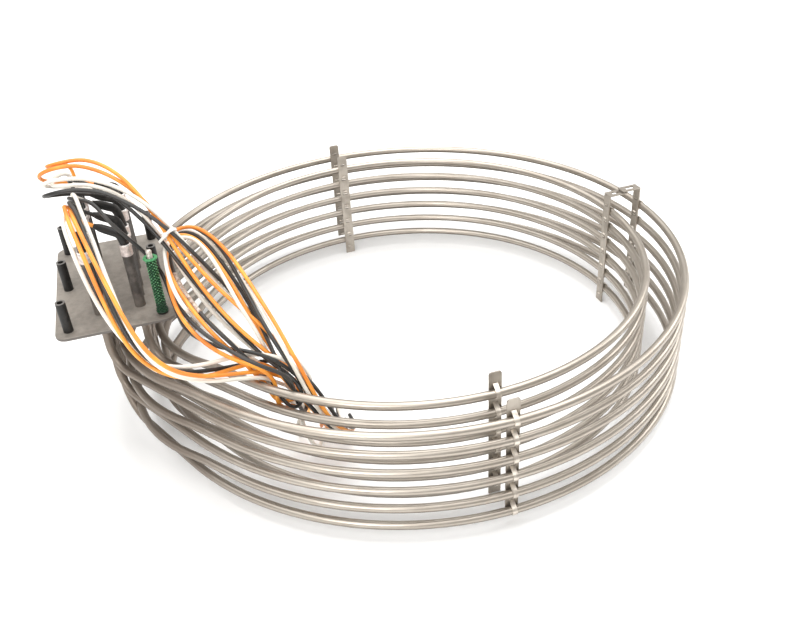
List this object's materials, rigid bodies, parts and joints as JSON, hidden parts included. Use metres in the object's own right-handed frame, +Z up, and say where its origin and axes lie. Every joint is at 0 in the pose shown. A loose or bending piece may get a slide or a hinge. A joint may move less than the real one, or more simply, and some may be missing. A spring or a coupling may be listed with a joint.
{
  "type": "tubular heating element",
  "caption": "Round bank of sheathed tubular heaters in an outer and an inner coil, strapped to slotted bars, with all tube ends in one studded flange plate and loose wired leads.",
  "frame": {"origin": "middle of the base: the floor under the feet of the inner bars, halfway along and across the object with its leads left out", "axes": "+Z up along the axis of the coils; the flange plate is on the -X side; +Y runs along the flange plate, away from the side with the long stud"},
  "size_m": [0.9758, 0.8861, 0.4373],
  "materials": {
    "element_tube": "bare sheathed tube, warm grey, darker beside the flange",
    "flange_steel": "bare plate, matt grey-brown",
    "stud_steel": "plain bright stud",
    "bar_steel": "bare cut strip, matt",
    "clip_steel": "bare bent strip",
    "sleeve_rubber": "near-black rubber, matt",
    "mesh_green": "dark green netting with a pale green disc",
    "end_sleeve": "dark grey sleeve, matt",
    "ferrule_metal": "pale metal with a faint pink cast",
    "boot_rubber": "black rubber",
    "sleeve_clear": "clear ribbed plastic over a black lead",
    "lead_orange": "orange insulation",
    "lead_white": "cream white insulation",
    "lead_black": "black insulation, slightly glossy",
    "tie_plastic": "white nylon tie"
  },
  "bodies": {
    "root": {"outer_element_1": "element_tube", "outer_element_2": "element_tube", "outer_element_3": "element_tube", "inner_element_1": "element_tube", "inner_element_2": "element_tube", "inner_element_3": "element_tube", "flange_plate": "flange_steel", "short_studs": "stud_steel", "long_stud": "stud_steel", "stud_sleeves": "sleeve_rubber", "stud_collar": "sleeve_rubber", "mesh_sleeve": "mesh_green", "outer_end_sleeves": "end_sleeve", "outer_ferrules": "ferrule_metal", "outer_boots": "boot_rubber", "inner_end_sleeves": "end_sleeve", "inner_ferrules": "ferrule_metal", "inner_boots": "boot_rubber", "outer_front_bar": "bar_steel", "outer_front_clips": "clip_steel", "outer_right_bar": "bar_steel", "outer_right_clips": "clip_steel", "outer_back_bar": "bar_steel", "outer_back_clips": "clip_steel", "inner_front_bar": "bar_steel", "inner_front_clips": "clip_steel", "inner_right_bar": "bar_steel", "inner_right_clips": "clip_steel", "inner_back_bar": "bar_steel", "inner_back_clips": "clip_steel", "lead_orange_1": "lead_orange", "lead_orange_2": "lead_orange", "lead_orange_3": "lead_orange", "lead_orange_4": "lead_orange", "lead_white_1": "lead_white", "lead_white_2": "lead_white", "lead_white_3": "lead_white", "lead_white_4": "lead_white", "lead_black_1": "lead_black", "lead_black_2": "lead_black", "lead_black_3": "lead_black", "lead_black_4": "lead_black", "ribbed_sleeve": "sleeve_clear", "lead_tie": "tie_plastic"}
  },
  "joints": []
}
